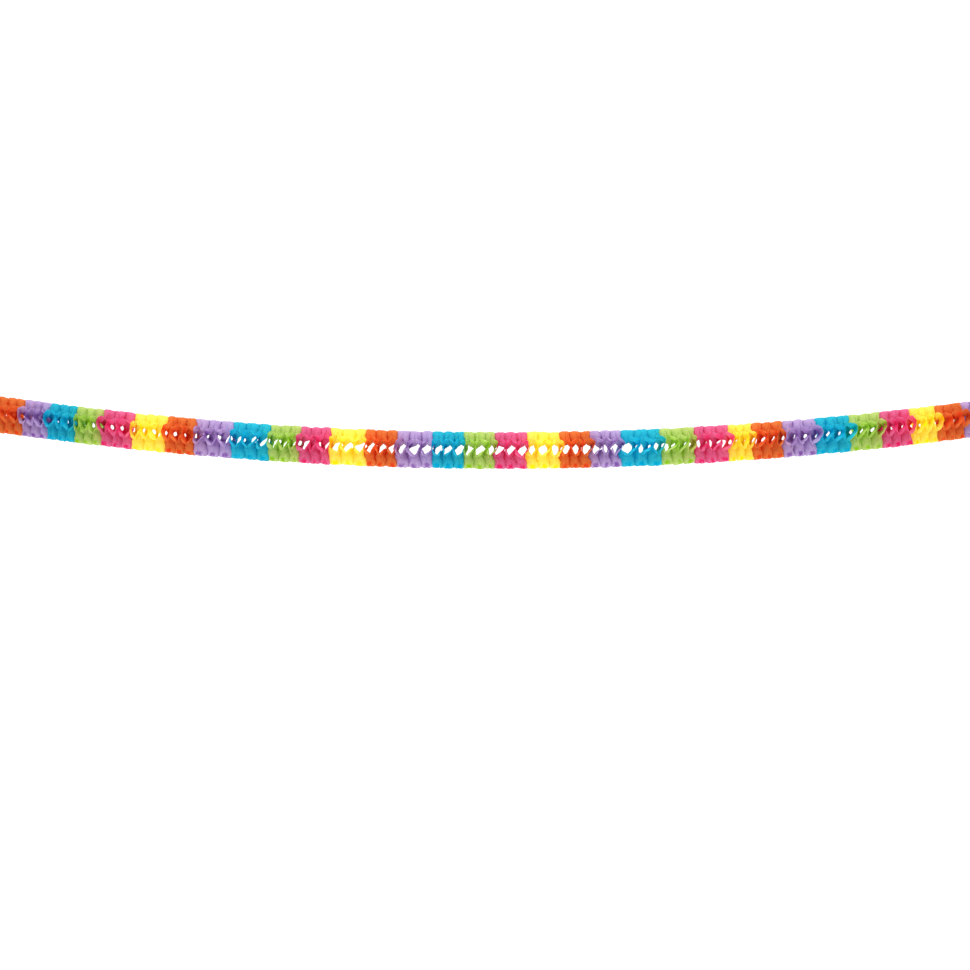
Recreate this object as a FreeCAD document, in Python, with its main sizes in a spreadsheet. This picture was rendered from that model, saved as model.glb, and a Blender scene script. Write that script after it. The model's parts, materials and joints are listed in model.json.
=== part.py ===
import FreeCAD, Part
import math
import os
import Sketcher

# A pull-out tissue paper garland, hung in a shallow arc along X.
# Die-cut tissue sheets stand across the line of the garland. Each has four blunt arms and
# is glued to the next sheet at its arm tips and crease lines, then to the one after at the
# notches between its arms, so that the stack opens into a row of pleated cells.
# Y points away from the viewer, +Z is up, and the origin is the left hanging hole.

FreeCAD.newDocument("tissue_garland")
doc = FreeCAD.ActiveDocument
os.makedirs("parts", exist_ok=True)

# Driving dimensions in millimetres
SIZES = {
    "tip_reach": 75.0,
    "shoulder_reach": 71.0,
    "shoulder_half": 25.0,
    "notch_out": 33.0,
    "notch_up": 28.0,
    "notch_down": 33.0,
    "hole_start": 12.0,
    "hole_end": 55.0,
    "hole_half": 17.0,
    "sheet_thick": 0.25,
    "run_length": 129.0,
    "sag": 154.0,
    "low_share": 0.5145,
    "card_thick": 1.0,
    "hang_hole_r": 3.0,
}
sheet = doc.addObject("Spreadsheet::Sheet", "sizes")
for row, (name, value) in enumerate(SIZES.items(), start=1):
    sheet.set("A%d" % row, name)
    sheet.set("B%d" % row, str(value))
    sheet.setAlias("B%d" % row, name)
doc.recompute()

# Colours in the order they repeat, and how far each run is pulled open,
# as a share of run_length. The runs near the hung ends are the tightest.
COLOURS = ["orange", "purple", "blue", "green", "pink", "yellow"]
PULLS = [0.87, 0.81, 0.87, 0.84, 1.00, 1.06, 0.94, 1.19, 1.19, 1.00, 0.97, 1.13, 1.00, 1.16, 1.00, 1.00,
         1.03, 1.06, 0.97, 1.00, 1.29, 1.06, 1.10, 0.77, 0.97, 1.06, 1.10, 1.03, 0.94, 0.81, 0.87, 0.84]
LEAVES_IN_RUN = 6
FIRST_RUN_LEAVES = 7
LAST_RUN_LEAVES = 5


def size(name):
    """One driving dimension, read from the sheet."""
    return float(sheet.get(name))


# Stations: where the planes between the sheets cross the hanging line
def run_leaves(run):
    """How many sheets a run of one colour has."""
    if run == 0:
        return FIRST_RUN_LEAVES
    if run == len(PULLS) - 1:
        return LAST_RUN_LEAVES
    return LEAVES_IN_RUN


def station_positions():
    """Distances along X from the left end, one more than there are sheets."""
    places = [0.0]
    for run, pull in enumerate(PULLS):
        pitch = size("run_length") * pull / LEAVES_IN_RUN
        for _ in range(run_leaves(run)):
            places.append(places[-1] + pitch)
    return places


PLACES = station_positions()
LOW_X = size("low_share") * PLACES[-1]


class Station:
    """A glue plane: a point on the hanging line and the directions there."""

    def __init__(self, x):
        rate = size("sag") / LOW_X ** 2
        height = rate * (x - LOW_X) ** 2 - size("sag")
        lean = math.atan(2.0 * rate * (x - LOW_X))
        self.centre = FreeCAD.Vector(x, 0, height)
        self.along = FreeCAD.Vector(math.cos(lean), 0, math.sin(lean))
        self.up = FreeCAD.Vector(-math.sin(lean), 0, math.cos(lean))
        self.lean = math.degrees(lean)

    def point(self, out, up):
        """A point of the plane: out towards the viewer, up along the sheet."""
        return self.centre - FreeCAD.Vector(0, out, 0) + self.up * up


STATIONS = [Station(x) for x in PLACES]

# The die-cut sheet: corners as (out, up, opening). Opening is 0 at the tips and crease
# lines, glued to one neighbour, and 1 at the shoulders and notches, glued to the other.
HOLE_OPENING = size("hole_half") / (size("notch_up") + size("notch_down")) * 2.0
CORNERS = {
    "top": (0, size("tip_reach"), 0),
    "top_front": (size("shoulder_half"), size("shoulder_reach"), 1),
    "upper_notch_front": (size("notch_out"), size("notch_up"), 1),
    "front": (size("tip_reach"), 0, 0),
    "lower_notch_front": (size("notch_out"), -size("notch_down"), 1),
    "bottom_front": (size("shoulder_half"), -size("shoulder_reach"), 1),
    "bottom": (0, -size("tip_reach"), 0),
    "bottom_back": (-size("shoulder_half"), -size("shoulder_reach"), 1),
    "lower_notch_back": (-size("notch_out"), -size("notch_down"), 1),
    "back": (-size("tip_reach"), 0, 0),
    "upper_notch_back": (-size("notch_out"), size("notch_up"), 1),
    "top_back": (-size("shoulder_half"), size("shoulder_reach"), 1),
    "hole_root": (size("hole_start"), 0, 0),
    "hole_upper": (size("hole_end"), size("hole_half"), HOLE_OPENING),
    "hole_lower": (size("hole_end"), -size("hole_half"), HOLE_OPENING),
}
OUTLINE = list(CORNERS)[:12]
HOLE = ["hole_upper", "hole_root", "hole_lower"]
PANELS = [
    ("top", "top_front", "upper_notch_front"),
    ("top", "upper_notch_front", "hole_root"),
    ("top", "hole_root", "upper_notch_back"),
    ("top", "upper_notch_back", "top_back"),
    ("hole_root", "upper_notch_front", "hole_upper"),
    ("hole_upper", "upper_notch_front", "front"),
    ("hole_upper", "front", "hole_lower"),
    ("hole_lower", "front", "lower_notch_front"),
    ("hole_root", "hole_lower", "lower_notch_front"),
    ("bottom", "lower_notch_front", "bottom_front"),
    ("bottom", "hole_root", "lower_notch_front"),
    ("bottom", "lower_notch_back", "hole_root"),
    ("bottom", "bottom_back", "lower_notch_back"),
    ("hole_root", "back", "upper_notch_back"),
    ("hole_root", "lower_notch_back", "back"),
]


def face(points):
    """A flat face through the points."""
    return Part.Face(Part.makePolygon(points + points[:1]))


def leaf(index):
    """One creased sheet between two glue planes, as a closed solid."""
    near = STATIONS[index]
    far = STATIONS[index + 1]
    thickness = (near.along + far.along).normalize() * size("sheet_thick")
    facing = {}
    for name, (out, up, opening) in CORNERS.items():
        share = 1 - opening if index % 2 == 0 else opening
        start = near.point(out, up)
        end = far.point(out, up) - thickness
        facing[name] = start + (end - start) * share
    backing = {name: point + thickness for name, point in facing.items()}
    faces = []
    for panel in PANELS:
        faces.append(face([facing[name] for name in panel]))
        faces.append(face([backing[name] for name in panel]))
    for loop in (OUTLINE, HOLE):
        for here, there in zip(loop, loop[1:] + loop[:1]):
            faces.append(face([facing[here], facing[there], backing[there], backing[here]]))
    solid = Part.Solid(Part.Shell(faces))
    if solid.Volume < 0:
        solid.reverse()
    return solid


# Runs of one colour, each a group of separate sheets
parts = {}
first = 0
for run in range(len(PULLS)):
    colour = COLOURS[run % len(COLOURS)]
    count = run_leaves(run)
    node = "%s_leaves_%02d" % (colour, run + 1)
    obj = doc.addObject("Part::Feature", node)
    obj.Label = node
    obj.Shape = Part.makeCompound([leaf(first + i) for i in range(count)])
    obj.Placement = FreeCAD.Placement()
    parts[node] = obj
    first += count


# End cards: stiff sheets of the leaf's outline with a punched hanging hole
def cross_sketch(body, name):
    """A sketch across the garland's line: its x is +Y and its y is +Z."""
    sketch = body.newObject("Sketcher::SketchObject", name)
    plane = next(item for item in body.Origin.OriginFeatures if item.Role == "YZ_Plane")
    sketch.AttachmentSupport = [(plane, "")]
    sketch.MapMode = "FlatFace"
    return sketch


def card_sketch(body, name):
    """The leaf's outline, its corners held to the sheet's sizes."""
    sketch = cross_sketch(body, name)
    corners = [CORNERS[corner][:2] for corner in OUTLINE]
    for here, there in zip(corners, corners[1:] + corners[:1]):
        start = FreeCAD.Vector(-here[0], here[1], 0)
        end = FreeCAD.Vector(-there[0], there[1], 0)
        sketch.addGeometry(Part.LineSegment(start, end), False)
    count = len(corners)
    for line in range(count):
        sketch.addConstraint(Sketcher.Constraint("Coincident", line, 2, (line + 1) % count, 1))
    links = {
        "top": ("", "tip_reach"),
        "top_front": ("shoulder_half", "shoulder_reach"),
        "upper_notch_front": ("notch_out", "notch_up"),
        "front": ("tip_reach", ""),
        "lower_notch_front": ("notch_out", "notch_down"),
        "bottom_front": ("shoulder_half", "shoulder_reach"),
        "bottom": ("", "tip_reach"),
        "bottom_back": ("shoulder_half", "shoulder_reach"),
        "lower_notch_back": ("notch_out", "notch_down"),
        "back": ("tip_reach", ""),
        "upper_notch_back": ("notch_out", "notch_up"),
        "top_back": ("shoulder_half", "shoulder_reach"),
    }
    for line, corner in enumerate(OUTLINE):
        for kind, alias, value in zip(("DistanceX", "DistanceY"), links[corner], corners[line]):
            if not alias:
                other = "PointOnObject"
                axis = -2 if kind == "DistanceX" else -1
                sketch.addConstraint(Sketcher.Constraint(other, line, 1, axis))
                continue
            place = -value if kind == "DistanceX" else value
            made = sketch.addConstraint(Sketcher.Constraint(kind, -1, 1, line, 1, place))
            sign = "-" if place < 0 else ""
            sketch.setExpression("Constraints[%d]" % made, "%ssizes.%s * 1 mm" % (sign, alias))
    return sketch


def end_card(node, station, outward):
    """A flat card against the outermost glue plane, on its outer side."""
    body = doc.addObject("PartDesign::Body", node)
    body.Label = node
    sketch = card_sketch(body, node + "_outline")
    pad = body.newObject("PartDesign::Pad", node + "_pad")
    pad.Profile = sketch
    pad.setExpression("Length", "sizes.card_thick * 1 mm")
    pad.Reversed = outward < 0
    punch = cross_sketch(body, node + "_hole")
    punch.addGeometry(Part.Circle(FreeCAD.Vector(0, 0, 0), FreeCAD.Vector(0, 0, 1), size("hang_hole_r")), False)
    punch.addConstraint(Sketcher.Constraint("Coincident", 0, 3, -1, 1))
    made = punch.addConstraint(Sketcher.Constraint("Radius", 0, size("hang_hole_r")))
    punch.setExpression("Constraints[%d]" % made, "sizes.hang_hole_r * 1 mm")
    pocket = body.newObject("PartDesign::Pocket", node + "_pocket")
    pocket.Profile = punch
    pocket.Type = "ThroughAll"
    pocket.Midplane = True
    doc.recompute()
    turn = FreeCAD.Rotation(FreeCAD.Vector(0, 1, 0), -station.lean)
    body.Placement = FreeCAD.Placement(station.centre, turn)
    return body


parts["left_end_card"] = end_card("left_end_card", STATIONS[0], -1)
parts["right_end_card"] = end_card("right_end_card", STATIONS[-1], 1)
doc.recompute()

# Check, then write
for obj in doc.Objects:
    if "Invalid" in obj.State or "Error" in obj.State:
        raise RuntimeError("%s: %s" % (obj.Name, obj.State))
for node, obj in parts.items():
    shape = obj.Shape
    if not shape.isValid() or shape.Volume <= 0:
        raise RuntimeError("%s isn't a valid solid" % node)
    shape.exportStep("parts/%s.step" % node)

print("garland length %.1f, lowest point %.1f below the left end" % (PLACES[-1], size("sag")))
print("sheets %d, nodes %d" % (len(PLACES) - 1, len(parts)))
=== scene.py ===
# %% [markdown]
# # A pull-out tissue garland
# Party shops sell this garland as a flat stack of die-cut tissue sheets. The sheets are glued
# to each other at alternating spots, so the stack pulls open into a long row of pleated cells.
# This lesson dresses the packed model: the real sizes come from it, and only looks are added.

# %% Load the packed model
import bpy
import json
import math
import random
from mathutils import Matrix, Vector
from mathutils.geometry import delaunay_2d_cdt


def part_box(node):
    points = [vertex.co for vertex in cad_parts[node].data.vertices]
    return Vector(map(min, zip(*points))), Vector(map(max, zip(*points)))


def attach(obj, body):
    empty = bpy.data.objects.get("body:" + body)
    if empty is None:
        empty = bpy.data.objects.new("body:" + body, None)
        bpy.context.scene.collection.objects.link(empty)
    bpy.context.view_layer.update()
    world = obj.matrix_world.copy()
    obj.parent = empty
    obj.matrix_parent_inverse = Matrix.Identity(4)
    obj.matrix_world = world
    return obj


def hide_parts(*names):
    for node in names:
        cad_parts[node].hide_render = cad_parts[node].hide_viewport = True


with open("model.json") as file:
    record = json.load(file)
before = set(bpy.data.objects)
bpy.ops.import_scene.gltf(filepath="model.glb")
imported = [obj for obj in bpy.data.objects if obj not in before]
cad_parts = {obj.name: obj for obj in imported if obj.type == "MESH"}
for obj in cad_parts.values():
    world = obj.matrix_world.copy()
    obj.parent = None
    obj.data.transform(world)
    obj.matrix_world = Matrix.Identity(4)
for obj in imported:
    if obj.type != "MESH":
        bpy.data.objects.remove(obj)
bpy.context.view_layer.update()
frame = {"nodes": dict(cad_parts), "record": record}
record = frame["record"]
MM = 0.001
print("nodes:", len(frame["nodes"]))

# %% [markdown]
# ## The hanging line
# A garland this light hangs almost as a parabola. The two hanging holes and the direction of
# the left one fix that parabola, so it is worked out from the record and never measured again.
# A curve object could carry the line too, but a formula can go straight into the node tree.

# %% Work out the hanging line
mounts = {mount["name"]: mount for mount in record["mounts"]}
LEFT = Vector(mounts["left_hang_hole"]["pos_m"])
RIGHT = Vector(mounts["right_hang_hole"]["pos_m"])
left_axis = Vector(mounts["left_hang_hole"]["axis"])
SPAN = RIGHT.x - LEFT.x
fall = -0.5 * left_axis.z / left_axis.x
SAG_RATE = (RIGHT.z + 2.0 * SPAN * fall) / SPAN ** 2
LOW_X = fall / SAG_RATE


def line_height(x):
    """Height of the hanging line over the row's origin."""
    return SAG_RATE * ((x - LOW_X) ** 2 - LOW_X ** 2)


print("span %.3f m, lowest at %.3f m, %.3f m down" % (SPAN, LOW_X, line_height(LOW_X)))

# %% [markdown]
# ## Where each colour run begins and ends
# A run is a group of sheets of one colour. The front arm tips of its outermost sheets lie on
# the planes between the runs, so the packed node itself says where the run begins and ends.

# %% Read the runs from the nodes
FACETS_PER_SHEET = 60
TIP_REACH = -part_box("left_end_card")[0].y


def read_run(name):
    """Start, end and number of sheets of one colour run."""
    mesh = frame["nodes"][name].data
    tips = [v.co.x for v in mesh.vertices if v.co.y < 0.5 * MM - TIP_REACH]
    return {
        "node": name,
        "colour": name.split("_")[0],
        "number": int(name.split("_")[-1]),
        "count": len(mesh.polygons) // FACETS_PER_SHEET,
        "start": min(tips),
        "end": max(tips),
    }


runs = [read_run(name) for name in frame["nodes"] if "_leaves_" in name]
runs.sort(key=lambda run: run["number"])
runs[0]["start"] = LEFT.x
runs[-1]["end"] = RIGHT.x
first_sheet = 0
for run in runs:
    run["first"] = first_sheet
    run["pitch"] = (run["end"] - run["start"]) / run["count"]
    first_sheet += run["count"]
print("runs:", len(runs), "sheets:", first_sheet)
print("pitch from %.1f to %.1f mm" % (
    min(run["pitch"] for run in runs) / MM, max(run["pitch"] for run in runs) / MM))

# %% [markdown]
# ## The die-cut sheet
# Every sheet is the same: four blunt arms, a notch between each two, and one hole punched
# through the front arm. The sheets come off one die, so the whole outline is drawn once. A
# handful of corners gives it, a spline rounds them, and a Delaunay fill will make an even net
# of triangles that can fold anywhere.

# %% Draw the outline and the punched hole
UPPER_NOTCH = 26.0 * MM
LOWER_NOTCH = 28.0 * MM
NOTCH_OUT = 33.0 * MM
SHOULDER_OUT = 24.0 * MM
SHOULDER_UP = 71.0 * MM
NET = 5.2 * MM
EDGE_STEP = 0.8 * NET
ARM_ABOVE_NOTCH = 9


def quarter(side, notch):
    """Corners of the outline, in mm, from the upright arm's tip to the notch and the level arm."""
    points = [(0, 74 if side > 0 else 72), (10, 74), (19, 75), (26, 72), (30, 62), (34, 51)]
    points += [(41, notch / MM + ARM_ABOVE_NOTCH), (51, 37), (61, 30), (70, 20), (75, 8)]
    return [(x * MM, side * y * MM) for x, y in points]


def full_outline():
    """The whole outline, clockwise from the top tip, seen from the left end."""
    upper = quarter(1, UPPER_NOTCH)
    lower = quarter(-1, LOWER_NOTCH)
    tip = [(TIP_REACH, 0.0)]
    right = upper + tip + lower[::-1]
    left = [(-x, y) for x, y in right[1:-1]][::-1]
    return right + left


def punched_hole():
    """The hole, in mm: it starts just in front of the middle and widens in the front arm."""
    points = [(2, 3), (9, 9), (20, 11), (30, 9), (36, 2), (30, -6), (20, -7), (9, -4)]
    return [(x * MM, y * MM) for x, y in points]


def spline_loop(points, step):
    """A closed Catmull-Rom curve through the points, cut into steps."""
    loop = []
    count = len(points)
    for i in range(count):
        a, b, c, d = (Vector(points[(i + k) % count]) for k in (-1, 0, 1, 2))
        cuts = max(1, round((c - b).length / step))
        for cut in range(cuts):
            t = cut / cuts
            bend = 2 * a - 5 * b + 4 * c - d
            twist = 3 * (b - c) + d - a
            loop.append(0.5 * (2 * b + (c - a) * t + bend * t * t + twist * t ** 3))
    return loop


outline = spline_loop(full_outline(), EDGE_STEP)
hole = spline_loop(punched_hole(), EDGE_STEP)
print("outline points:", len(outline), "hole points:", len(hole))

# %% [markdown]
# ## How the sheet opens
# The creases run from the middle to the four arm tips and stay on one glue plane. The notches
# and shoulders stay on the next one. The share of the way between the two planes is stored
# on every point as "opening", and the node tree later reads it. A second number is painted
# light and shade for the dyed paper: a painted highlight on the ridges, painted light toward
# the arm tips, painted shade in the pleats between, and a dark spot where the sheets are glued.

# %% Say how far each spot opens and how much painted light and shade it gets
RISE_FROM = {1: 12.0 * MM, -1: 2.0 * MM}
STRAIGHT_RISE = 0.35
FLATTEN_FROM = 38 * MM
FLATTEN_OVER = 30 * MM
FLATTENED = 0.65
PLY_GAP = 0.012
# Painted light and shade: a base level, a painted highlight on the ridges and painted light toward
# the arm tips; the dark spot at the lower shoulders is glue
PAINTED_LIGHT_BASE = 0.1
RIDGE_PAINTED_HIGHLIGHT = 0.55
TIP_PAINTED_LIGHT = {1: 0.3, -1: 0.5}
RIDGE_NARROWS = 0.6
GLUE_OUT = 10 * MM
GLUE_UP = 17 * MM
GLUE_DARK = 1.2


def clamp(value):
    """The value, held between 0 and 1."""
    return min(max(value, 0.0), 1.0)


def opening(out, up):
    """0 on the creases and arm tips, 1 on the notches and shoulders."""
    notch = UPPER_NOTCH if up > 0 else LOWER_NOTCH
    flat_to = RISE_FROM[1 if up > 0 else -1]
    climb = clamp((abs(up) - notch) / (SHOULDER_UP - notch))
    half = NOTCH_OUT + (SHOULDER_OUT - NOTCH_OUT) * climb
    across = min(abs(out) / half, 1.0)
    rise = STRAIGHT_RISE * across + (1.0 - STRAIGHT_RISE) * across ** 2
    upward = clamp((abs(up) - flat_to) / (notch - flat_to))
    beyond = clamp((abs(out) - FLATTEN_FROM) / FLATTEN_OVER)
    ply = PLY_GAP * clamp(abs(out) / NOTCH_OUT - 1.0)
    return max(rise * upward * (1.0 - FLATTENED * beyond), ply)


def daylight(out, up):
    """Painted light and shade: a painted highlight on the ridges, painted light near the upright
    tips, painted shade in the pleats, darkest at glue.
    """
    reach = min(abs(up) / SHOULDER_UP, 1.0)
    ridge = min(abs(out) / (SHOULDER_OUT * (1.0 - RIDGE_NARROWS * reach)), 1.0)
    # Painted highlight on the ridges and painted light toward the tips; the pleats stay darker as
    # painted shade
    pale = PAINTED_LIGHT_BASE + RIDGE_PAINTED_HIGHLIGHT * ridge * reach + TIP_PAINTED_LIGHT[1 if up > 0 else -1] * reach
    from_glue = math.hypot((abs(out) - SHOULDER_OUT) / GLUE_OUT, (up + SHOULDER_UP) / GLUE_UP)
    return pale - GLUE_DARK * max(0.0, 1.0 - from_glue ** 2)


print("opening at the upper notch: %.2f" % opening(NOTCH_OUT, UPPER_NOTCH))
print("daylight at a lower shoulder: %.2f" % daylight(SHOULDER_OUT, -SHOULDER_UP))

# %% [markdown]
# ## A net of triangles
# Tissue crinkles in every direction, so the flat sheet needs points all over and not only
# along its edges. A square grid cut by the outline would leave ragged edges, and its rows would
# show in the folds. A Delaunay net keeps the outline, the hole and the creases as edges and
# joins loosely spread points between them into even triangles.

# %% Fill the sheet with triangles and store both numbers
SHAKE = 0.2
CLEAR_OF_EDGE = 0.55


def inside(point, loop):
    """Whether a point lies inside a closed loop."""
    hit = False
    for a, b in zip(loop, loop[1:] + loop[:1]):
        if (a.y > point.y) != (b.y > point.y):
            if point.x < a.x + (point.y - a.y) * (b.x - a.x) / (b.y - a.y):
                hit = not hit
    return hit


def is_paper(point):
    """Whether a point lies on the sheet and not in its hole."""
    return inside(point, outline) and not inside(point, hole)


def closed_edges(first, count):
    """Edges round a loop whose points start at the given number."""
    return [(first + i, first + (i + 1) % count) for i in range(count)]


def crease_points(tip):
    """Even points along a crease through the middle, from one arm tip to the other."""
    steps = 2 * round(TIP_REACH / NET)
    return [Vector(tip) * (2 * i / steps - 1) for i in range(steps + 1)]


def fill_sheet():
    """Points and triangles of the flat sheet, as (out, up)."""
    rng = random.Random(4)
    points = outline + hole
    edges = closed_edges(0, len(outline)) + closed_edges(len(outline), len(hole))
    for tip in ((TIP_REACH, 0.0), (0.0, TIP_REACH)):
        crease = crease_points(tip)
        edges += [(len(points) + i, len(points) + i + 1) for i in range(len(crease) - 1)]
        points += crease
    fixed = list(points)
    rows = int(2 * TIP_REACH / NET)
    for row in range(rows):
        for col in range(rows):
            x = -TIP_REACH + (col + 0.5 * (row % 2)) * NET + rng.uniform(-SHAKE, SHAKE) * NET
            y = -TIP_REACH + row * NET + rng.uniform(-SHAKE, SHAKE) * NET
            spot = Vector((x, y))
            clear = min((spot - edge).length for edge in fixed) > CLEAR_OF_EDGE * NET
            if clear and is_paper(spot):
                points.append(spot)
    net, _, faces = delaunay_2d_cdt(points, edges, [], 1, 1e-6)[:3]
    middles = [sum((net[i] for i in face), Vector((0, 0))) / len(face) for face in faces]
    return net, [face for face, middle in zip(faces, middles) if is_paper(middle)]


def store_number(mesh, name, values):
    """Store one number per point on a mesh."""
    mesh.attributes.new(name, "FLOAT", "POINT").data.foreach_set("value", values)


net, triangles = fill_sheet()
flat = bpy.data.meshes.new("flat_sheet")
flat.from_pydata([(0.0, -p.x, p.y) for p in net], [], triangles)
store_number(flat, "opening", [opening(p.x, p.y) for p in net])
store_number(flat, "daylight", [daylight(p.x, p.y) for p in net])
print("one sheet: %d points, %d triangles" % (len(net), len(triangles)))

# %% [markdown]
# ## Formulas in a node tree
# The sheets are placed and bent by formulas, and a node tree needs one node for every sum.
# A small class writes those nodes, so that the tree below still reads like arithmetic.

# %% Make the formula writer


class Formula:
    """Writes math nodes: each call adds one node and gives back its output."""

    def __init__(self, tree):
        self.tree = tree

    def node(self, kind, **values):
        made = self.tree.nodes.new(kind)
        for name, value in values.items():
            setattr(made, name, value)
        return made

    def feed(self, socket, value):
        if isinstance(value, bpy.types.NodeSocket):
            self.tree.links.new(value, socket)
        else:
            socket.default_value = value

    def math(self, operation, *values):
        made = self.node("ShaderNodeMath", operation=operation)
        for socket, value in zip(made.inputs, values):
            self.feed(socket, value)
        return made.outputs[0]

    def add(self, a, b):
        return self.math("ADD", a, b)

    def sub(self, a, b):
        return self.math("SUBTRACT", a, b)

    def mul(self, a, b):
        return self.math("MULTIPLY", a, b)

    def size_of(self, a):
        return self.math("ABSOLUTE", a)

    def at_least(self, a, floor):
        return self.math("MAXIMUM", a, floor)

    def vector(self, x, y, z):
        made = self.node("ShaderNodeCombineXYZ")
        for socket, value in zip(made.inputs, (x, y, z)):
            self.feed(socket, value)
        return made.outputs[0]

    def noise(self, vector, w, scale, detail):
        made = self.node("ShaderNodeTexNoise", noise_dimensions="4D")
        for name, value in (("Vector", vector), ("W", w), ("Scale", scale), ("Detail", detail)):
            self.feed(made.inputs[name], value)
        return self.sub(made.outputs[0], 0.5)


print("formula steps:", [name for name in vars(Formula) if not name.startswith("_")])

# %% [markdown]
# ## The node tree that hangs a run
# One sheet is cut once and then repeated along the hanging line, so this is work for Geometry
# Nodes. The tree puts one copy per sheet, opens each copy between its two glue planes, turns
# every second one round, gives the soft paper its play and bends the run along the line. The
# numbers below say how coarse each kind of play is. How strong it is comes in as an input.

# %% Build the tree
PLANE_STEP = 3.7
WAVE_SCALE = 26.0
CRINKLE_SCALE = 75.0
CRINKLE_STEP = 5.3
CRINKLE_SERIES = 17.0
DRIFT_SCALE = 14.0
RUFFLE_SERIES = 31.0
RUFFLE_SCALE = 60.0
EDGE_UP = 0.5
EDGE_OUT = 0.4
ROLL_SERIES = 53.0
ROLL_SPREAD = 3.0
ROLL_FADES = 7.0
ROLL_LEAST = 0.3
ROLL_TIP_FROM = 15 * MM
SWAY_SERIES = 71.0
SWAY_FROM = 6 * MM
SIDES_APART = 5.0
SLANT_SERIES = 90.0
TWIST_SERIES = 97.0
SLANT_SCALE = 14.0
SLANT_MEAN = 0.6
SLANT_SPREAD = 2.4
TWIST_SPREAD = 5.0
TWIST_TURNS = 45.0
SLANT_CALMS = 0.28
SLANT_FADES = 22.0
RUN_INPUTS = [
    ("Start", "NodeSocketFloat"),
    ("Pitch", "NodeSocketFloat"),
    ("Count", "NodeSocketInt"),
    ("First", "NodeSocketInt"),
    ("Sag rate", "NodeSocketFloat"),
    ("Low point", "NodeSocketFloat"),
    ("Wave", "NodeSocketFloat"),
    ("Crinkle", "NodeSocketFloat"),
    ("Ruffle", "NodeSocketFloat"),
    ("Roll", "NodeSocketFloat"),
    ("Sway", "NodeSocketFloat"),
    ("Slant", "NodeSocketFloat"),
    ("Joint", "NodeSocketFloat"),
    ("Seed", "NodeSocketFloat"),
    ("Tissue", "NodeSocketMaterial"),
]


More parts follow.
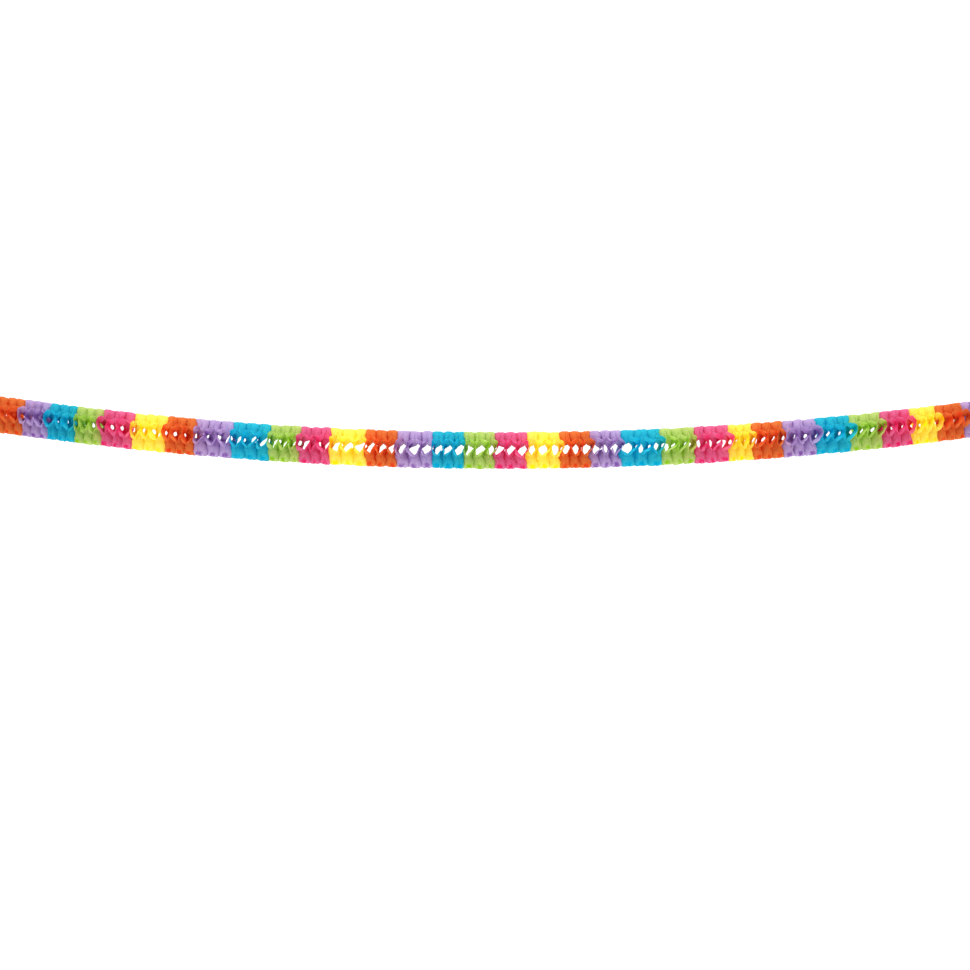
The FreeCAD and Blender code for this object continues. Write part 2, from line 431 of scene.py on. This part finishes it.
def hanging_tree():
    """Sheets in, one hung and crinkled run out."""
    tree = bpy.data.node_groups.new("hang_a_run", "GeometryNodeTree")
    tree.is_modifier = True
    tree.interface.new_socket("Sheet", in_out="INPUT", socket_type="NodeSocketGeometry")
    for name, kind in RUN_INPUTS:
        tree.interface.new_socket(name, in_out="INPUT", socket_type=kind)
    tree.interface.new_socket("Run", in_out="OUTPUT", socket_type="NodeSocketGeometry")
    f = Formula(tree)
    given = f.node("NodeGroupInput").outputs
    link = tree.links.new

    points = f.node("GeometryNodePoints")
    link(given["Count"], points.inputs["Count"])
    copies = f.node("GeometryNodeInstanceOnPoints")
    link(points.outputs[0], copies.inputs["Points"])
    link(given["Sheet"], copies.inputs["Instance"])
    label = f.node("GeometryNodeStoreNamedAttribute", data_type="FLOAT", domain="INSTANCE")
    label.inputs["Name"].default_value = "sheet"
    link(copies.outputs[0], label.inputs["Geometry"])
    link(f.add(f.node("GeometryNodeInputIndex").outputs[0], given["First"]), label.inputs["Value"])
    real = f.node("GeometryNodeRealizeInstances")
    link(label.outputs[0], real.inputs[0])

    def named(name):
        read = f.node("GeometryNodeInputNamedAttribute", data_type="FLOAT")
        read.inputs["Name"].default_value = name
        return read.outputs["Attribute"]

    place = f.node("ShaderNodeSeparateXYZ")
    link(f.node("GeometryNodeInputPosition").outputs[0], place.inputs[0])
    back, up = place.outputs["Y"], place.outputs["Z"]
    sheet, opened = named("sheet"), named("opening")

    # Joints: the outermost sheets of a run are stuck to the next run over a wider strip
    turn = f.sub(sheet, given["First"])
    middle = f.mul(0.5, f.sub(given["Count"], 1.0))
    at_joint = f.math("GREATER_THAN", f.size_of(f.sub(turn, middle)), f.sub(middle, 0.5))
    opened = f.math("POWER", opened, f.add(1.0, f.mul(at_joint, given["Joint"])))

    # Odd sheets have their creases on the near plane, even sheets on the far one
    odd = f.math("MODULO", sheet, 2.0)
    share = f.add(f.sub(1.0, opened), f.mul(odd, f.sub(f.mul(opened, 2.0), 1.0)))
    order = f.add(turn, share)
    along = f.add(given["Start"], f.mul(given["Pitch"], order))

    # Waves: every glue plane has its own, and a sheet runs evenly from one to the other, so
    # two sheets move as one where they are stuck
    spot = f.vector(0.0, back, up)
    here = f.add(f.mul(sheet, PLANE_STEP), given["Seed"])

    def between_planes(vector, series, scale, detail):
        near = f.noise(vector, f.add(here, series), scale, detail)
        far = f.noise(vector, f.add(here, series + PLANE_STEP), scale, detail)
        return f.add(near, f.mul(share, f.sub(far, near)))

    along = f.add(along, f.mul(between_planes(spot, 0.0, WAVE_SCALE, 3.0), given["Wave"]))

    # Crinkles differ from sheet to sheet and fade out toward both glue planes
    free = f.mul(4.0, f.mul(opened, f.sub(1.0, opened)))
    crinkle_w = f.add(f.mul(sheet, CRINKLE_STEP), CRINKLE_SERIES)
    crinkle = f.noise(spot, crinkle_w, CRINKLE_SCALE, 2.0)
    along = f.add(along, f.mul(f.mul(crinkle, free), given["Crinkle"]))

    # Ruffles: the arms are a little longer or shorter from cell to cell
    drift_spot = f.vector(f.mul(along, DRIFT_SCALE), 0.0, f.math("SIGN", up))
    drift = f.noise(drift_spot, given["Seed"], 1.0, 2.0)
    edge = between_planes(spot, RUFFLE_SERIES, RUFFLE_SCALE, 2.0)
    ruffled_up = f.mul(given["Ruffle"], f.add(drift, f.mul(edge, EDGE_UP)))
    ruffled_out = f.mul(given["Ruffle"], f.mul(edge, EDGE_OUT))
    up = f.mul(up, f.add(1.0, ruffled_up))
    back = f.mul(back, f.add(1.0, ruffled_out))

    # Roll and sway: the front arms point upward, and no two pairs of arms by the same amount
    side = f.vector(f.mul(f.math("SIGN", back), SIDES_APART), 0.0, 0.0)
    lift = f.add(1.0, f.mul(ROLL_SPREAD, between_planes(side, ROLL_SERIES, 1.0, 1.0)))
    level = f.at_least(f.sub(1.0, f.mul(f.size_of(up), ROLL_FADES)), ROLL_LEAST)
    tip = f.at_least(f.sub(f.mul(back, -1.0), ROLL_TIP_FROM), 0.0)
    up = f.add(up, f.mul(f.mul(given["Roll"], level), f.mul(lift, f.sub(tip, back))))
    lean = between_planes(side, SWAY_SERIES, 1.0, 1.0)
    far_out = f.at_least(f.sub(f.size_of(back), SWAY_FROM), 0.0)
    along = f.add(along, f.mul(given["Sway"], f.mul(lean, far_out)))

    # Slant: the cells around the middle are pushed over, most where the garland hangs lowest,
    # and a little differently at the front and at the back
    reach = f.sub(along, given["Low point"])
    calm = f.at_least(f.sub(1.0, f.mul(SLANT_CALMS, f.mul(reach, reach))), 0.0)
    station = f.vector(f.mul(along, SLANT_SCALE), 0.0, 0.0)
    pushed = f.noise(station, f.add(given["Seed"], SLANT_SERIES), 1.0, 1.0)
    twisted = f.noise(station, f.add(given["Seed"], TWIST_SERIES), 1.0, 1.0)
    turning = f.mul(f.mul(twisted, TWIST_SPREAD), f.math("SINE", f.mul(back, TWIST_TURNS)))
    pushing = f.add(f.add(SLANT_MEAN, f.mul(SLANT_SPREAD, pushed)), turning)
    slant = f.mul(f.mul(given["Slant"], calm), pushing)
    fade = f.at_least(f.sub(1.0, f.mul(f.size_of(up), SLANT_FADES)), 0.0)
    reach = f.add(reach, f.mul(slant, f.mul(up, fade)))

    # Bend along the hanging line
    low = given["Low point"]
    tilt = f.math("ARCTANGENT", f.mul(2.0, f.mul(given["Sag rate"], reach)))
    height = f.mul(given["Sag rate"], f.sub(f.mul(reach, reach), f.mul(low, low)))
    x = f.sub(f.add(reach, low), f.mul(f.math("SINE", tilt), up))
    z = f.add(height, f.mul(f.math("COSINE", tilt), up))
    bend = f.node("GeometryNodeSetPosition")
    link(real.outputs[0], bend.inputs["Geometry"])
    link(f.vector(x, back, z), bend.inputs["Position"])

    smooth = f.node("GeometryNodeSetShadeSmooth")
    link(bend.outputs[0], smooth.inputs[0])
    paint = f.node("GeometryNodeSetMaterial")
    link(smooth.outputs[0], paint.inputs["Geometry"])
    link(given["Tissue"], paint.inputs["Material"])
    link(paint.outputs[0], f.node("NodeGroupOutput").inputs[0])
    return tree


hang_a_run = hanging_tree()
print("tree nodes:", len(hang_a_run.nodes))

# %% [markdown]
# ## Tissue paper
# Tissue lets about half of the light through, so each sheet glows with what is behind it and
# gets deeper in colour where sheets lie over each other. A diffuse shader mixed with a
# translucent one does that. On top, the colour runs from a deep tone for painted shade to a
# pale tone for painted light, after the painted light and shade stored on the sheet. Fine
# crepe and faint clouds keep the colour from looking flat.

# %% Dye six tissues, each with a deep tone for painted shade and a pale one for painted light
# Each pair: the deep tone for painted shade, the pale tone for painted light
TISSUES = {
    "orange": ((0.78, 0.070, 0.014), (0.80, 0.25, 0.065)),
    "purple": ((0.28, 0.125, 0.43), (0.60, 0.46, 0.72)),
    "blue": ((0.0, 0.43, 0.66), (0.04, 0.57, 0.70)),
    "green": ((0.32, 0.60, 0.012), (0.59, 0.72, 0.24)),
    "pink": ((0.78, 0.022, 0.16), (0.80, 0.19, 0.38)),
    "yellow": ((0.98, 0.78, 0.004), (0.98, 0.88, 0.17)),
}


CLOUD_SCALE = 35.0
CLOUD_WEIGHT = 1.3
PAINTED_LIGHT_AND_GLUE_WEIGHT = 0.9
SHADE_BASE = 0.3
DEEP_AT = 0.35
PALE_AT = 0.95
CREPE_SCALE = 420.0
LETS_THROUGH = 0.58


def speckle(f, scale, detail):
    """A noise texture that sits still on the object."""
    made = f.node("ShaderNodeTexNoise")
    f.feed(made.inputs["Vector"], f.node("ShaderNodeTexCoord").outputs["Object"])
    made.inputs["Scale"].default_value = scale
    made.inputs["Detail"].default_value = detail
    return made.outputs[0]


def two_colours(f, low, high, low_at=0.0, high_at=1.0):
    """A ramp from one colour to another."""
    made = f.node("ShaderNodeValToRGB")
    for stop, colour, place in zip(made.color_ramp.elements, (low, high), (low_at, high_at)):
        stop.color = list(colour) + [1.0]
        stop.position = place
    return made


def relief(f, height, strength, depth):
    """A bump made from a height texture."""
    made = f.node("ShaderNodeBump")
    made.inputs["Strength"].default_value = strength
    made.inputs["Distance"].default_value = depth
    f.feed(made.inputs["Height"], height)
    return made.outputs[0]


def tissue(name, deep, pale):
    """Thin dyed paper: part reflects, part lets light through; its colour runs from deep painted
    shade to pale painted light.
    """
    material = bpy.data.materials.new(name + "_tissue")
    material.use_nodes = True
    material.node_tree.nodes.clear()
    f = Formula(material.node_tree)

    # The ramp runs from the deep shaded tone to the pale lit one, driven by the painted light and
    # shade with the glue spots, plus random clouds
    clouds = f.sub(f.mul(speckle(f, CLOUD_SCALE, 6.0), CLOUD_WEIGHT), SHADE_BASE)
    light = f.node("ShaderNodeAttribute", attribute_name="daylight").outputs["Fac"]
    ramp = two_colours(f, deep, pale, DEEP_AT, PALE_AT)
    f.feed(ramp.inputs[0], f.add(f.mul(light, PAINTED_LIGHT_AND_GLUE_WEIGHT), clouds))
    crepe = relief(f, speckle(f, CREPE_SCALE, 4.0), 0.35, 0.6 * MM)

    mix = f.node("ShaderNodeMixShader")
    mix.inputs[0].default_value = LETS_THROUGH
    for place, kind in enumerate(("ShaderNodeBsdfDiffuse", "ShaderNodeBsdfTranslucent"), start=1):
        layer = f.node(kind)
        f.feed(layer.inputs["Color"], ramp.outputs[0])
        f.feed(layer.inputs["Normal"], crepe)
        f.feed(mix.inputs[place], layer.outputs[0])
    f.feed(f.node("ShaderNodeOutputMaterial").inputs["Surface"], mix.outputs[0])
    return material


tissues = {name: tissue(name, *colours) for name, colours in TISSUES.items()}
print("tissues:", sorted(tissues))

# %% [markdown]
# ## Hanging the runs
# A run of one colour is what a hand feels as one section of the real garland. Each run is made
# by the same tree with its own start, pitch and number of sheets, and then turned into a plain
# mesh, so that every sheet is real paper in the scene and not a trick of the display.

# %% Hang the thirty-two runs
WAVE = 34.0 * MM
CRINKLE = 18.0 * MM
RUFFLE = 0.18
ROLL = 0.14
SWAY = 1.35
SLANT = 0.9
JOINT = 0.7
SEED = 5.0


def hang(run):
    """One run as a plain mesh in the row's frame."""
    maker = bpy.data.objects.new("maker", flat)
    bpy.context.scene.collection.objects.link(maker)
    modifier = maker.modifiers.new("hang", "NODES")
    modifier.node_group = hang_a_run
    values = {
        "Start": run["start"],
        "Pitch": run["pitch"],
        "Count": run["count"],
        "First": run["first"],
        "Sag rate": SAG_RATE,
        "Low point": LOW_X,
        "Wave": WAVE,
        "Crinkle": CRINKLE,
        "Ruffle": RUFFLE,
        "Roll": ROLL,
        "Sway": SWAY,
        "Slant": SLANT,
        "Joint": JOINT,
        "Seed": SEED,
        "Tissue": tissues[run["colour"]],
    }
    for item in hang_a_run.interface.items_tree:
        if item.in_out == "INPUT" and item.name in values:
            modifier[item.identifier] = values[item.name]
    graph = bpy.context.evaluated_depsgraph_get()
    mesh = bpy.data.meshes.new_from_object(maker.evaluated_get(graph), depsgraph=graph)
    bpy.data.objects.remove(maker)
    piece = bpy.data.objects.new("%s_tissue_%02d" % (run["colour"], run["number"]), mesh)
    bpy.context.scene.collection.objects.link(piece)
    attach(piece, "root")
    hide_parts(run["node"])
    return piece


pieces = [hang(run) for run in runs]
print("triangles in all:", sum(len(piece.data.polygons) for piece in pieces))

# %% [markdown]
# ## End cards
# Stiff grey-brown board keeps the outermost sheets flat and takes the cord. The packed cards
# have the right shape, so they only get board: fibres, flecks and a slightly soft surface.

# %% Face the end cards with board


def board():
    """Unbleached pressed board."""
    material = bpy.data.materials.new("pressed_board")
    material.use_nodes = True
    f = Formula(material.node_tree)
    shader = material.node_tree.nodes["Principled BSDF"]
    shader.inputs["Roughness"].default_value = 0.85
    fibres = speckle(f, 260.0, 6.0)
    ramp = two_colours(f, (0.50, 0.43, 0.33), (0.74, 0.68, 0.57))
    f.feed(ramp.inputs[0], fibres)
    f.feed(shader.inputs["Base Color"], ramp.outputs[0])
    f.feed(shader.inputs["Normal"], relief(f, fibres, 0.2, 0.4 * MM))
    return material


CARDS = ("left_end_card", "right_end_card")
card_board = board()
for name in CARDS:
    card = frame["nodes"][name]
    card.data.materials.clear()
    card.data.materials.append(card_board)
print("cards faced:", len(CARDS))

# %% [markdown]
# ## Studio
# The garland hangs in front of plain white. A pale floor lies well below it, the world gives
# even white light from all round, which lights the tissue from behind as well, and one large
# soft light from above and in front gives the folds a bright side.

# %% Lay the floor and set the light
FLOOR_Z = -1.3
HALF_FLOOR = 60.0
FLOOR_CORNERS = ((-1, -1), (1, -1), (1, 1), (-1, 1))
WORLD_LIGHT = 1.24
KEY_WATTS = 85.0
KEY_PLACE = Vector((LOW_X, -1.6, 1.9))
KEY_AIM = Vector((0.0, 1.6, -2.05))

floor_mesh = bpy.data.meshes.new("floor")
corners = [(LOW_X + x * HALF_FLOOR, y * HALF_FLOOR, FLOOR_Z) for x, y in FLOOR_CORNERS]
floor_mesh.from_pydata(corners, [], [(0, 1, 2, 3)])
floor = bpy.data.objects.new("floor", floor_mesh)
bpy.context.scene.collection.objects.link(floor)
paint = bpy.data.materials.new("pale_floor")
paint.use_nodes = True
paint.node_tree.nodes["Principled BSDF"].inputs["Base Color"].default_value = (0.9, 0.9, 0.9, 1.0)
paint.node_tree.nodes["Principled BSDF"].inputs["Roughness"].default_value = 0.9
floor.data.materials.append(paint)

world = bpy.data.worlds.new("studio")
bpy.context.scene.world = world
world.use_nodes = True
world.node_tree.nodes["Background"].inputs["Color"].default_value = (1.0, 1.0, 1.0, 1.0)
world.node_tree.nodes["Background"].inputs["Strength"].default_value = WORLD_LIGHT

key = bpy.data.lights.new("key", "AREA")
key.shape = "RECTANGLE"
key.size = 5.0
key.size_y = 1.5
key.energy = KEY_WATTS
key_object = bpy.data.objects.new("key", key)
key_object.location = KEY_PLACE
key_object.rotation_euler = KEY_AIM.to_track_quat("-Z", "Y").to_euler()
bpy.context.scene.collection.objects.link(key_object)
print("floor %.2f m under the garland's lowest point" % (line_height(LOW_X) - FLOOR_Z))

# %% [markdown]
# ## Camera
# The camera stands level and straight in front, as far away as the leaning ends of the garland
# in the photograph say. Two of its pixels tie the picture to the hanging line.

# %% Set the camera
PHOTO_SIDE = 970
MM_PER_PIXEL = 4.1605
CAMERA_PIXELS_AWAY = 930
LOW_PIXEL = Vector((503.0, 450.6))
CENTRE_PIXEL = Vector((485.0, 485.0))
SENSOR_MM = 36.0


def photo_point(pixel):
    """Where a pixel of the photograph lies in the plane of the hanging line."""
    right = (pixel.x - LOW_PIXEL.x) * MM_PER_PIXEL * MM
    down = (pixel.y - LOW_PIXEL.y) * MM_PER_PIXEL * MM
    return Vector((LOW_X + right, 0.0, line_height(LOW_X) - down))


away = Vector((0, CAMERA_PIXELS_AWAY * MM_PER_PIXEL * MM, 0))
lens = bpy.data.cameras.new("camera")
lens.sensor_width = SENSOR_MM
lens.lens = SENSOR_MM * CAMERA_PIXELS_AWAY / PHOTO_SIDE
camera = bpy.data.objects.new("camera", lens)
camera.location = photo_point(CENTRE_PIXEL) - away
camera.rotation_euler = (math.pi / 2, 0, 0)
bpy.context.scene.collection.objects.link(camera)
bpy.context.scene.camera = camera
bpy.context.scene.view_settings.view_transform = "Standard"
print("camera %.2f m away" % -camera.location.y)

# %% [markdown]
